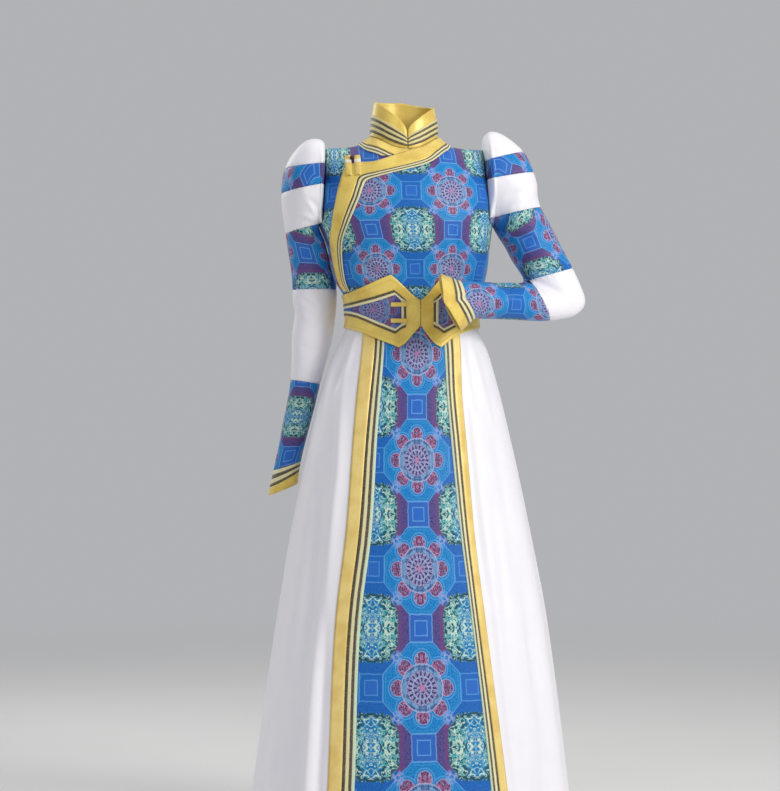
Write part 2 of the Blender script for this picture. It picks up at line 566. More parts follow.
class Sheet:
    """Rows and columns of points, with a place in the cloth at each."""

    def __init__(self, points, cloth, outside, ring=False):
        self.points, self.cloth = np.array(points, float), np.array(cloth, float)
        self.outside, self.ring = np.array(outside, float), ring
        self.measure()

    def measure(self):
        """Works out the normals. On a ring the first and last columns are one place."""
        p = self.points
        along = np.gradient(p, axis=1)
        if self.ring:
            along[:, 0] = along[:, -1] = (p[:, 1] - p[:, -2]) / 2
        normals = unit(np.cross(along, np.gradient(p, axis=0)))
        facing = (normals * (p - self.outside)).sum()
        self.normals = normals if facing > 0 else -normals
        self.flipped = facing <= 0

    def creased(self, table, whole=None):
        """Adds soft ridges and troughs between places of the front view, found on this sheet or on the
        whole that it is a part of."""
        whole = whole or [self]
        every = np.concatenate([s.points.reshape(-1, 3) for s in whole])
        facing = np.concatenate([s.normals.reshape(-1, 3) for s in whole])[:, 1]
        flat = self.points.reshape(-1, 3)
        out = np.zeros(len(flat))
        for x0, z0, x1, z1, width, height, back in table:
            places = ((x0, z0), ((x0 + x1) / 2, (z0 + z1) / 2), (x1, z1))
            ends = [nearest(every, facing, x, z, back) for x, z in places]
            far = np.full(len(flat), 9.0)
            for first, last in zip(ends, ends[1:]):
                way = last - first
                share = np.clip(((flat - first) @ way) / max(way @ way, 1e-9), 0, 1)
                far = np.minimum(far, np.linalg.norm(flat - first - share[:, None] * way, axis=1))
            length = np.linalg.norm(ends[2] - ends[0])
            along = np.linalg.norm(flat - ends[1], axis=1) / max(length * 0.5, 1e-6)
            fade = np.clip(1.25 - along, 0, 1)
            out += CREASE_DEPTH * height * np.exp(-((far / width) ** 2)) * fade * fade * (3 - 2 * fade)
        made = copy.copy(self)
        made.points = self.points + self.normals * out.reshape(self.points.shape[:2])[..., None]
        made.measure()
        return made

    def patch(self, chosen=None, rows=None, columns=None):
        """The chosen cells, or those in a range of rows and columns."""
        high, wide = self.points.shape[:2]
        rows = rows or (0, high - 1)
        columns = columns or (0, wide - 1)
        index = -np.ones((high, wide), int)
        faces, places = [], []

        def number(i, j):
            if index[i, j] < 0:
                index[i, j] = len(places)
                places.append((i, j))
            return int(index[i, j])

        for i in range(*rows):
            for j in range(*columns):
                if chosen is None or chosen[i, j]:
                    ring = (number(i, j), number(i, j + 1), number(i + 1, j + 1), number(i + 1, j))
                    faces.append(ring[::-1] if self.flipped else ring)
        at = tuple(np.array(places).T)
        return Patch(self.points[at], self.normals[at], self.cloth[at], faces, self.flat(index >= 0))

    def flat(self, used):
        """The longest run of the used points along the rows and along the columns, in metres."""
        along = np.linalg.norm(np.diff(self.points, axis=1), axis=2) * (used[:, 1:] & used[:, :-1])
        across = np.linalg.norm(np.diff(self.points, axis=0), axis=2) * (used[1:] & used[:-1])
        return along.sum(1).max(), across.sum(0).max()


def shell(node, patch, thick, material, out=0.0):
    """A thin shell: the patch moved out, thickened inwards."""
    moved = patch.moved(out)
    name = node + "_cloth"
    data = bpy.data.meshes.new(name)
    data.from_pydata(moved.points.tolist(), [], moved.faces)
    layer = data.uv_layers.new(name="cloth")
    corners = np.empty(len(data.loops), np.int32)
    data.loops.foreach_get("vertex_index", corners)
    layer.data.foreach_set("uv", moved.cloth[corners, :2].astype(np.float32).ravel())
    data.materials.append(material)
    data.shade_smooth()
    made = bpy.data.objects.new(name, data)
    bpy.context.collection.objects.link(made)
    solid = made.modifiers.new("Thickness", "SOLIDIFY")
    solid.thickness = thick
    solid.offset = -1
    return made


def wear(piece, slot, *nodes):
    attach(piece, "root")
    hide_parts(*nodes)
    return piece


def surface_area(patch):
    """The patch's area in square metres."""
    total = 0.0
    for face in patch.faces:
        a = patch.points[face[0]]
        for j, k in zip(face[1:], face[2:]):
            total += np.linalg.norm(np.cross(patch.points[j] - a, patch.points[k] - a)) / 2
    return total


# Materials


def colour(text):
    """A colour given as the eye sees it, as the renderer's linear one."""
    parts = [int(text[i : i + 2], 16) / 255 for i in (0, 2, 4)]
    return (*[p / 12.92 if p <= 0.04045 else ((p + 0.055) / 1.055) ** 2.4 for p in parts], 1.0)


class Graph:
    """A material's nodes, written as sums."""

    def __init__(self, name):
        self.material = bpy.data.materials.new(name)
        self.material.use_nodes = True
        self.tree = self.material.node_tree
        self.shader = self.tree.nodes["Principled BSDF"]
        place = self.add("ShaderNodeUVMap")
        place.uv_map = "cloth"
        self.cloth = place.outputs["UV"]
        parts = self.add("ShaderNodeSeparateXYZ")
        self.link(self.cloth, parts.inputs[0])
        self.u, self.v = parts.outputs["X"], parts.outputs["Y"]
        self.where = self.add("ShaderNodeTexCoord").outputs["Object"]

    def add(self, kind):
        return self.tree.nodes.new(kind)

    def link(self, value, socket):
        if isinstance(value, (int, float)):
            socket.default_value = value
        elif isinstance(value, tuple):
            socket.default_value = value
        else:
            self.tree.links.new(value, socket)

    def sum(self, operation, *values):
        node = self.add("ShaderNodeMath")
        node.operation = operation
        for value, socket in zip(values, node.inputs):
            self.link(value, socket)
        return node.outputs[0]

    def below(self, value, edge, soft=0.012):
        """1 where value is less than edge, softly to 0 where it is more."""
        node = self.add("ShaderNodeMapRange")
        node.interpolation_type = "SMOOTHSTEP"
        self.link(value, node.inputs["Value"])
        self.link(self.sum("SUBTRACT", edge, soft), node.inputs["From Min"])
        self.link(self.sum("ADD", edge, soft), node.inputs["From Max"])
        node.inputs["To Min"].default_value = 1.0
        node.inputs["To Max"].default_value = 0.0
        return node.outputs[0]

    def near(self, value, edge, half, soft=0.012):
        """1 where value is within half of edge."""
        return self.below(self.sum("ABSOLUTE", self.sum("SUBTRACT", value, edge)), half, soft)

    def both(self, *masks):
        made = masks[0]
        for mask in masks[1:]:
            made = self.sum("MULTIPLY", made, mask)
        return made

    def mix(self, share, first, second):
        node = self.add("ShaderNodeMix")
        node.data_type = "RGBA"
        self.link(share, node.inputs[0])
        self.link(first, node.inputs[6])
        self.link(second, node.inputs[7])
        return node.outputs[2]

    def noise(self, scale, detail=2.0, stretch=None, place=None, bend=0.0):
        node = self.add("ShaderNodeTexNoise")
        node.inputs["Distortion"].default_value = bend
        node.inputs["Scale"].default_value = scale
        node.inputs["Detail"].default_value = detail
        source = place or self.where
        if stretch:
            mapping = self.add("ShaderNodeMapping")
            mapping.inputs["Scale"].default_value = stretch
            self.link(source, mapping.inputs["Vector"])
            source = mapping.outputs[0]
        self.link(source, node.inputs["Vector"])
        return node.outputs[0]

    def vector(self, x, y, z=0.0):
        node = self.add("ShaderNodeCombineXYZ")
        for value, socket in zip((x, y, z), node.inputs):
            self.link(value, socket)
        return node.outputs[0]

    def polar(self, x, y):
        """How far a place lies from the middle, and which way."""
        far = self.sum("SQRT", self.sum("ADD", self.both(x, x), self.both(y, y)))
        return far, self.sum("ARCTAN2", y, x)

    def threads(self, across, along, fine):
        """A weave's threads, 0 to 1, from metres across and along."""
        first = self.sum("SINE", self.sum("MULTIPLY", across, 2 * math.pi / fine))
        second = self.sum("SINE", self.sum("MULTIPLY", along, 2 * math.pi / fine))
        return self.sum("ADD", self.sum("MULTIPLY", self.both(first, second), 0.5), 0.5)

    def finish(self, base, height, strength, far=0.0004, roughness=0.4, sheen=0.0, coat=0.0, **more):
        self.link(base, self.shader.inputs["Base Color"])
        if isinstance(roughness, float):
            self.shader.inputs["Roughness"].default_value = roughness
        else:
            self.link(roughness, self.shader.inputs["Roughness"])
        self.shader.inputs["Sheen Weight"].default_value = sheen
        self.shader.inputs["Sheen Roughness"].default_value = 0.4
        self.shader.inputs["Coat Weight"].default_value = coat
        for name, value in more.items():
            self.shader.inputs[name.replace("_", " ").title()].default_value = value
        bump = self.add("ShaderNodeBump")
        bump.inputs["Strength"].default_value = strength
        bump.inputs["Distance"].default_value = far
        self.link(height, bump.inputs["Height"])
        self.link(bump.outputs[0], self.shader.inputs["Normal"])
        return self.material


def satin(name, light, shade, thread=0.0011, sheen=0.15, roughness=0.36, uneven=0.5):
    """Plain satin: fine threads, a soft unevenness and long faint slubs."""
    g = Graph(name)
    soft = g.noise(14.0, 3.0)
    slub = g.noise(1.0, 3.0, (900.0, 900.0, 60.0))
    base = g.mix(g.sum("MULTIPLY", g.below(soft, 0.47, 0.16), uneven), colour(light), colour(shade))
    weave = g.threads(g.u, g.v, thread)
    height = g.sum("ADD", g.sum("MULTIPLY", weave, 0.5), slub)
    rough = g.sum("ADD", g.sum("MULTIPLY", slub, 0.16), roughness - 0.08)
    return g.finish(base, height, 0.25, roughness=rough, sheen=sheen)


def gold_satin(name, light, shade, metal=0.10):
    """Gold satin: a warm metal thread, crossed by fine ribs, with a line of stitches along each edge."""
    g = Graph(name)
    soft = g.noise(26.0, 3.0)
    grain = g.noise(420.0, 2.0)
    base = g.mix(g.sum("MULTIPLY", g.below(soft, 0.46, 0.14), 0.65), colour(light), colour(shade))
    base = g.mix(g.sum("MULTIPLY", g.below(grain, 0.42, 0.10), 0.25), base, colour(shade))
    edge = g.sum("ABSOLUTE", g.sum("SUBTRACT", g.v, 0.5))
    dashes = g.below(g.sum("SINE", g.sum("MULTIPLY", g.u, 2 * math.pi / 0.0032)), 0.35, 0.2)
    stitch = g.both(g.near(edge, 0.43, 0.012, 0.012), dashes)
    base = g.mix(g.sum("MULTIPLY", stitch, 0.5), base, colour(shade))
    height = g.sum("ADD", g.sum("MULTIPLY", grain, 0.6), g.sum("MULTIPLY", stitch, -1.2))
    rough = g.sum("ADD", g.sum("MULTIPLY", grain, 0.2), 0.26)
    g.shader.inputs["Metallic"].default_value = metal
    return g.finish(base, height, 0.45, roughness=rough, sheen=0.1)


def loop_satin(name):
    """A frog loop: gold satin with a cream wrapping near its upper end."""
    g = Graph(name)
    soft = g.noise(160.0, 2.0)
    base = g.mix(g.sum("MULTIPLY", g.below(soft, 0.47, 0.10), 0.6), colour(GOLD), colour(GOLD_SHADE))
    wrapped = g.near(g.u, 0.0115, 0.0035, 0.0008)
    base = g.mix(wrapped, base, colour("F4F0DC"))
    cord = g.sum("SINE", g.sum("MULTIPLY", g.u, 2 * math.pi / 0.0011))
    return g.finish(base, cord, 0.5, roughness=0.35, sheen=0.1)


def striped_ribbon(name, bands):
    """A woven ribbon: bands is a list of (share across at which it starts, colour)."""
    g = Graph(name)
    wander = g.sum("MULTIPLY", g.sum("SUBTRACT", g.noise(60.0, 2.0), 0.5), 0.05)
    across = g.sum("ADD", g.v, wander)
    base = colour(bands[0][1])
    high = 0.0
    for start, text in bands[1:]:
        base = g.mix(g.below(across, start, 0.02), colour(text), base)
        high = g.sum("ADD", g.near(across, start, 0.02, 0.02), high)
    leaning = g.sum("ADD", g.u, g.sum("MULTIPLY", g.v, 0.01))
    cord = g.sum("SINE", g.sum("MULTIPLY", leaning, 2 * math.pi / 0.0016))
    speck = g.noise(500.0, 2.0)
    base = g.mix(g.sum("MULTIPLY", g.below(speck, 0.44, 0.08), 0.28), base, colour(GOLD_SHADE))
    height = g.sum("ADD", g.sum("MULTIPLY", cord, 0.35), g.sum("MULTIPLY", high, -1.0))
    return g.finish(base, height, 0.5, roughness=0.42, sheen=0.2)


def brocade(name, ground, cell, turned=False, dyed=None):
    """The lattice brocade. The cloth's places are in half periods of the pattern: a mandala's octagon at
    every even pair, a scroll roundel's at every odd pair, and nested squares between them, fainter at the
    mandalas' sides."""
    g = Graph(name)
    shaken = g.noise(9.0, 2.0, place=g.cloth)
    shake = g.sum("MULTIPLY", g.sum("SUBTRACT", shaken, 0.5), 0.03)
    u, v = (g.v, g.u) if turned else (g.u, g.v)
    u, v = g.sum("ADD", u, shake), g.sum("ADD", v, shake)
    mu, mv = g.sum("WRAP", u, 1.0, -1.0), g.sum("WRAP", v, 1.0, -1.0)
    au, av = g.sum("ABSOLUTE", mu), g.sum("ABSOLUTE", mv)
    ru, rv = g.sum("SUBTRACT", 1.0, au), g.sum("SUBTRACT", 1.0, av)
    octagon = g.sum("MAXIMUM", g.sum("ADD", au, av), g.sum("DIVIDE", g.sum("MAXIMUM", au, av), 0.76))
    nest = g.sum("DIVIDE", g.sum("MAXIMUM", au, rv), 0.25)
    plain = g.sum("DIVIDE", g.sum("MAXIMUM", ru, av), 0.25)
    speck = g.noise(34.0, 2.0, place=g.cloth)
    scroll = g.noise(4.6, 1.5, place=g.vector(ru, rv), bend=2.4)
    fleck = g.noise(11.0, 1.0, place=g.vector(au, av), bend=0.8)

    # The grounds: azure round the mandalas, plum at the roundels' sides and royal blue elsewhere
    inside = g.below(octagon, 1.0, 0.01)
    outside = g.sum("SUBTRACT", 1.0, inside)
    base = g.mix(g.below(speck, 0.46, 0.12), colour(cell), colour(ground))
    sides = g.below(g.sum("SUBTRACT", rv, g.sum("MULTIPLY", ru, 0.80)), 0.0, 0.02)
    around = g.mix(g.both(g.below(speck, 0.42, 0.10), 0.6), colour(ROYAL), colour(NAVY))
    around = g.mix(sides, around, g.mix(g.below(speck, 0.43, 0.08), colour(PLUM), colour(DOTS)))
    base = g.mix(outside, base, around)

    # The roundel, nearly square: ivory scrolls on teal and green, azure down its middle
    shares = [g.sum("POWER", g.sum("DIVIDE", way, half), 3.2) for way, half in ((ru, 0.53), (rv, 0.58))]
    far = g.sum("POWER", g.sum("ADD", *shares), 1 / 3.2)
    ragged = g.sum("ADD", far, g.sum("MULTIPLY", g.sum("SUBTRACT", fleck, 0.5), 0.25))
    blush = g.both(g.near(ragged, 1.08, 0.07, 0.04), g.below(speck, 0.50, 0.08), sides, outside)
    base = g.mix(g.both(blush, 0.8), base, colour(CRIMSON))
    worked = g.mix(g.below(fleck, 0.45, 0.03), colour(TEAL), colour(GREEN))
    middle = g.both(g.below(ru, 0.17, 0.10), 0.75)
    worked = g.mix(middle, worked, g.mix(g.below(speck, 0.47, 0.06), colour(AZURE), colour(ROYAL)))
    vine = g.below(g.sum("ABSOLUTE", g.sum("SUBTRACT", scroll, 0.50)), 0.030, 0.010)
    worked = g.mix(vine, worked, colour(IVORY))
    leaf = g.both(g.below(g.sum("ABSOLUTE", g.sum("SUBTRACT", fleck, 0.56)), 0.018, 0.012), 0.8)
    worked = g.mix(leaf, worked, colour(IVORY))
    rim = g.both(g.near(ragged, 0.93, 0.06, 0.03), g.below(scroll, 0.50, 0.03))
    worked = g.mix(rim, worked, colour(GREEN))
    base = g.mix(g.both(g.below(ragged, 1.0, 0.02), outside), base, worked)

    # The mandala: eight round petals tucked behind a disc of dotted rings
    far, turn = g.polar(mu, mv)
    sector = g.sum("WRAP", turn, math.pi / 8, -math.pi / 8)
    over = g.sum("SUBTRACT", g.sum("MULTIPLY", far, g.sum("COSINE", sector)), 0.475)
    off, _ = g.polar(over, g.sum("MULTIPLY", far, g.sum("SINE", sector)))
    base = g.mix(g.both(g.near(off, 0.185, 0.008, 0.008), inside, 0.8), base, colour(LINE))
    curl = g.near(g.noise(9.0, 1.0, place=g.vector(au, av), bend=1.6), 0.5, 0.02, 0.02)
    petal = g.mix(g.below(fleck, 0.45, 0.06), colour(CRIMSON), colour(ROSE))
    petal = g.mix(g.below(speck, 0.45, 0.05), petal, colour(DOTS))
    petal = g.mix(g.both(curl, 0.7), petal, colour(PALE_BLUE))
    base = g.mix(g.below(off, 0.135, 0.010), base, petal)
    base = g.mix(g.both(g.near(off, 0.138, 0.007, 0.008), 0.75), base, colour(ROSE_LIGHT))
    ring = g.sum("DIVIDE", far, 0.095)
    count = g.sum("ADD", g.sum("MULTIPLY", g.sum("FLOOR", ring), 7.0), 5.0)
    beads = g.both(
        g.sum("COSINE", g.both(turn, count)),
        g.sum("COSINE", g.sum("MULTIPLY", g.sum("SUBTRACT", g.sum("FRACT", ring), 0.5), math.pi)),
    )
    heart = g.mix(g.below(speck, 0.47, 0.08), colour(LILAC), colour("6C6698"))
    heart = g.mix(g.below(beads, 0.30, 0.15), colour(DOTS), heart)
    heart = g.mix(g.both(g.near(far, 0.19, 0.008, 0.008), 0.6), heart, colour(PALE_BLUE))
    rim = g.mix(g.below(fleck, 0.5, 0.04), colour("6F9AC6"), colour("3C5E92"))
    rim = g.mix(g.both(curl, 0.8), rim, colour(PALE_BLUE))
    heart = g.mix(g.below(g.sum("SUBTRACT", 0.30, far), 0.0, 0.012), heart, rim)
    heart = g.mix(g.below(far, 0.055, 0.02), heart, colour("B880AC"))
    base = g.mix(g.below(far, 0.405, 0.010), base, heart)
    base = g.mix(g.near(far, 0.408, 0.009, 0.008), base, colour(ROSE_LIGHT))

    # The lattice's lines, the nested squares and the small sprays between them
    base = g.mix(g.both(g.near(octagon, 1.0, 0.010, 0.010), 0.85), base, colour(LINE))
    base = g.mix(g.both(g.near(octagon, 0.94, 0.005, 0.006), 0.55), base, colour(LINE))
    for square, fill, strength in ((nest, "2C64BE", 0.95), (plain, ROYAL, 0.65)):
        nested = g.mix(g.below(square, 0.48, 0.05), colour(fill), colour("2368C4"))
        nested = g.mix(g.both(g.near(square, 0.50, 0.035, 0.04), strength), nested, colour(LINE))
        base = g.mix(g.below(square, 0.92, 0.04), base, nested)
        base = g.mix(g.both(g.near(square, 0.92, 0.035, 0.04), strength), base, colour(LINE))
    far, turn = g.polar(g.sum("SUBTRACT", au, 0.5), g.sum("SUBTRACT", av, 0.5))
    spray = g.both(g.below(far, 0.12, 0.03), g.below(fleck, 0.52, 0.04), 0.75)
    base = g.mix(spray, base, colour("86A4E0"))
    base = g.mix(g.both(g.near(far, 0.05, 0.010, 0.010), 0.6), base, colour(ROSE_LIGHT))
    if dyed:
        base = g.mix(0.35, base, colour(dyed))

    fine = g.noise(120.0, 2.0, place=g.cloth)
    base = g.mix(g.both(g.below(fine, 0.42, 0.06), 0.30), base, colour(NAVY))
    base = g.mix(g.both(g.below(g.sum("SUBTRACT", 1.0, fine), 0.38, 0.05), 0.22), base, colour(PALE_BLUE))
    height = g.sum("ADD", g.sum("MULTIPLY", fine, 0.8), g.threads(g.u, g.v, 0.02))
    rough = g.sum("ADD", g.sum("MULTIPLY", fine, 0.2), 0.34)
    g.shader.inputs["Specular IOR Level"].default_value = 0.22
    return g.finish(base, height, 0.25, roughness=rough, sheen=0.02)


def make_materials():
    return {
        "white": satin("white satin", WHITE, "E4E2EE", roughness=0.42, uneven=0.15),
        "gold": gold_satin("gold satin", GOLD, GOLD_SHADE),
        "skirt_gold": gold_satin("skirt gold satin", SKIRT_GOLD, "E2BE62"),
        "brocade": brocade("blue brocade", ROYAL, AZURE),
        "sleeve_brocade": brocade("sleeve brocade", ROYAL, AZURE, turned=True),
        "belt_brocade": brocade("belt brocade", DOTS, PLUM, dyed="4A3A74"),
        "ribbon": striped_ribbon(
            "trim ribbon", [(0.0, STRIPE), (0.24, CREAM), (0.50, STRIPE), (0.74, CREAM)]
        ),
        "belt_ribbon": striped_ribbon("belt ribbon", [(0.0, STRIPE), (0.50, CREAM)]),
        "collar_ribbon": striped_ribbon(
            "collar ribbon",
            [(0.0, STRIPE), (0.17, WARM), (0.34, STRIPE), (0.51, WARM), (0.68, STRIPE), (0.85, WARM)],
        ),
        "skirt_ribbon": striped_ribbon(
            "skirt ribbon", [(0.0, STRIPE), (0.26, CREAM), (0.52, STRIPE), (0.76, "CFE0C4")]
        ),
        "loop": loop_satin("frog loop satin"),
        "knot": satin("knot cord", KNOT, "2A0C0C", roughness=0.5),
    }


# Bodice


def arc(points):
    """How far along each row every point lies."""
    steps = np.linalg.norm(np.diff(points, axis=1), axis=2)
    return np.concatenate([np.zeros((len(points), 1)), np.cumsum(steps, 1)], 1)


def bodice_sheets():
    """The front's and back's sheets: below the chest they reach the side seams."""
    sheets = []
    for back in (False, True):
        side = 1 if back else -1
        flat = np.linspace(-ARMHOLE_X_LOW, ARMHOLE_X_LOW, 97)
        flat = [angle_at(x, CHEST) for x in flat]
        quarter = math.pi / 2
        first = [-quarter + (flat[0] + quarter) * i / 10 for i in range(10)]
        last = [flat[-1] + (quarter - flat[-1]) * i / 10 for i in range(1, 11)]
        angles = first + flat + last
        downs = np.linspace(WAIST, CHEST, 61)
        lower = [[body_point(math.pi - a if back else a, d) for a in angles] for d in downs]
        xs = np.linspace(-ARMHOLE_X_LOW, ARMHOLE_X_LOW, 97)
        upper = [[upper_point(x, i / 60, side) for x in xs] for i in range(0, 61)]
        past = [p * 2 - q for p, q in zip(lower[-1], lower[-2])]
        past[10:107] = upper[1]
        upper.insert(0, lower[-2][10:107])
        lower.append(past)
        sheets.append((lower, upper))
    return sheets


def bodice_cloth(points, first_column, chest_row):
    """The pattern's places: across from the arc at the chest, and down by height."""
    along = arc(np.array([chest_row]))[0]
    xs = np.array(chest_row)[:, 0]
    zero = np.interp(BODICE_CENTRE[0], xs, along)
    u = (along - zero) / BODICE_STEP[0] + 1.0
    u = u[first_column : first_column + len(points[0])]
    z = np.array(points)[..., 2]
    v = (-z - BODICE_CENTRE[1]) / BODICE_STEP[1]
    return np.stack([np.broadcast_to(u, z.shape), v], -1)


def build_bodice(materials):
    for back, (lower, upper) in enumerate(bodice_sheets()):
        chest_row = lower[-2]
        pieces, used = [], ((0, len(lower) - 2), (1, len(upper) - 1))
        for rows, first in ((lower, 0), (upper, 10)):
            cloth = bodice_cloth(rows, first, chest_row)
            pieces.append(Sheet(rows, cloth, (0, 0, -0.12)))
        creases = [c for c in BODICE_CREASES if c[-1] == back]
        pieces = [piece.creased(creases, pieces) for piece in pieces]
        if back:
            join_wear("bodice_back", [p.patch(rows=r) for p, r in zip(pieces, used)], materials["brocade"])
            continue
        unders, overs = [], []
        for sheet, rows in zip(pieces, used):
            p = sheet.points
            x = (p[:-1, :-1, 0] + p[1:, 1:, 0]) / 2
            z = (p[:-1, :-1, 2] + p[1:, 1:, 2]) / 2
            high = (x < OVERLAP_AT_NECK) & (z > np.interp(x, *zip(*OVERLAP_TOP)))
            low = x < np.interp(-z, *zip(*OVERLAP_SIDE))
            under = np.where(-z < OVERLAP_SIDE[0][0], high, low)
            unders.append(sheet.patch(under, rows))
            overs.append(sheet.patch(~under, rows))
        join_wear("bodice_front", overs, materials["brocade"])
        join_wear("bodice_under_front", unders, materials["brocade"])


def join_patches(patches):
    """One patch of several that share edges: points at one place become one."""
    points = np.concatenate([p.points for p in patches])
    normals = np.concatenate([p.normals for p in patches])
    cloth = np.concatenate([p.cloth for p in patches])
    _, first, same = np.unique(np.round(points, 5), axis=0, return_index=True, return_inverse=True)
    same = same.ravel()
    faces, start = [], 0
    for patch in patches:
        for face in patch.faces:
            ring = tuple(int(same[i + start]) for i in face)
            if len(set(ring)) == len(ring):
                faces.append(ring)
        start += len(patch.points)
    flat = (max(p.flat[0] for p in patches), sum(p.flat[1] for p in patches))
    return Patch(points[first], normals[first], cloth[first], faces, flat)


SHEETS = []
LEAST_SHARE = 0.32
SMALLEST_CUT = 0.0101


def join_wear(name, patches, material):
    cloth_piece(name, join_patches(patches), material, "blue_brocade")


def cloth_piece(name, patch, material, slot, thick=CLOTH, out=0.0):
    piece = wear(shell(name, patch, thick, material, out), slot, name)
    SHEETS.append((piece, patch))


# Collar and neck bands


def band_cloth(points):
    """Metres along and a share across, for a strip whose rows run along it."""
    along = arc(points)
    middle = along[len(along) // 2]
    across = np.linspace(0, 1, len(points))
    places = (np.broadcast_to(middle, along.shape), np.broadcast_to(across[:, None], along.shape))
    return np.stack(places, -1)


def build_collar(materials):
    turn = np.linspace(COLLAR_OPENING, 2 * math.pi - COLLAR_OPENING, 241)

    def rows(shares):
        made = []
        for share in shares:
            row = []
            for angle in turn:
                off = abs((math.degrees(angle) + 180) % 360 - 180)
                x, y = neck_edge(angle)
                foot = top_point(x, y)[2] + COLLAR_FOOT
                top_y = -(COLLAR_TOP_FRONT if math.cos(angle) >= 0 else COLLAR_TOP_BACK) * math.cos(angle)
                top_z = np.interp(off, *zip(*COLLAR_TOP)) - COLLAR_LEFT_LOWER * max(0, math.sin(angle))
                top = np.array([COLLAR_TOP_X * math.sin(angle), top_y, top_z])
                bulge = math.sin(math.pi * share) * 0.0012
                out = np.array([math.sin(angle), -math.cos(angle), 0]) * bulge
                row.append(np.array([x, y, foot]) * (1 - share) + top * share + out)
            made.append(row)
        return np.array(made)

    points = rows(np.linspace(0, 1, 25))
    collar = Sheet(points, band_cloth(points), (0, 0, 0.04))
    cloth_piece("collar", collar.patch(), materials["gold"], "gold_satin")
    points = rows(np.linspace(*COLLAR_RIBBON, 13))
    ribbon = Sheet(points, band_cloth(points), (0, 0, 0.04))
    cloth_piece("collar_ribbon", ribbon.patch(), materials["collar_ribbon"], "striped_ribbon", TRIM, 0.0012)


def overlap_lines():
    """The band's three lines in the front view, from the shoulder to the belt."""
    outs = {"outer": NECK_BAND_GOLD[0], "middle": NECK_BAND_GOLD[1], "inner": NECK_BAND_RIBBON[1]}
    lines = []
    for name, out in outs.items():
        start = top_point(*neck_edge(NECK_BAND_END, out))
        places = [(start[0], start[2])]
        for row in OVERLAP_NECK:
            if name == "outer":
                x, _, z = top_point(*neck_edge(math.radians(row[0]), out))
            else:
                at = OVERLAP_NECK_COLUMNS.index(name + "_x")
                x, z = row[at : at + 2]
            places.append((x, z))
        at = OVERLAP_COLUMNS.index(name + "_x")
        places += [row[at : at + 2] for row in OVERLAP]
        xs, zs = np.array(places).T
        every = np.arange(len(places))
        fine = np.linspace(0, len(places) - 1, 16 * (len(places) - 1) + 1)
        lines.append(np.stack([smooth(every, xs, fine), smooth(every, zs, fine)], 1))
    return lines


def neck_start(out):
    """The angle, to the wearer's right, at which a line out metres from the neck meets the overlap band."""
    near, far = 0.0, math.pi / 2
    xs, zs = overlap_lines()[0][: OVERLAP_ALONG_NECK * 16].T
    for _ in range(30):
        middle = (near + far) / 2
        x, _, z = top_point(*neck_edge(-middle, out))
        if z - np.interp(-x, -xs, zs) > 0:
            far = middle
        else:
            near = middle
    return far


def build_neck_bands(materials):
    for name, outs, material, slot in (
        ("neck_band", NECK_BAND_GOLD, "gold", "gold_satin"),
        ("neck_ribbon", NECK_BAND_RIBBON, "ribbon", "striped_ribbon"),
    ):
        rows = []
        for out in np.linspace(*outs, 9):
            start = neck_start(out) - 0.02
            turn = np.linspace(-start, -(2 * math.pi - NECK_BAND_END), 200)
            rows.append([top_point(*neck_edge(a, out)) for a in turn])
        points = np.array(rows)
        strip = Sheet(points, band_cloth(points), (0, 0, -0.12))
        cloth_piece(name, strip.patch(), materials[material], slot, TRIM, ON_BODICE)


def build_overlap_bands(materials):
    outer, middle, inner = overlap_lines()
    for name, first, last, material, slot in (
        ("overlap_band", outer, middle, "gold", "gold_satin"),
        ("overlap_ribbon", middle, inner, "ribbon", "striped_ribbon"),
    ):
        rows = []
        for share in np.linspace(0, 1, 9):
            edge = first + (last - first) * share
            rows.append([front_point(x, z) for x, z in edge])
        points = np.array(rows)
        strip = Sheet(points, band_cloth(points), (0, 0.02, -0.16))
        cloth_piece(name, strip.patch(), materials[material], slot, TRIM, ON_BODICE)


# Skirt


def panel_edges(down):
    downs = column(PANEL, PANEL_COLUMNS, "down")
    return [smooth(downs, column(PANEL, PANEL_COLUMNS, name), down) for name in PANEL_COLUMNS[1:]]


SKIRT_CELLS = (6, 5, 60, 5, 6)
GORE_CELLS = 110
BACK_CELLS = 150


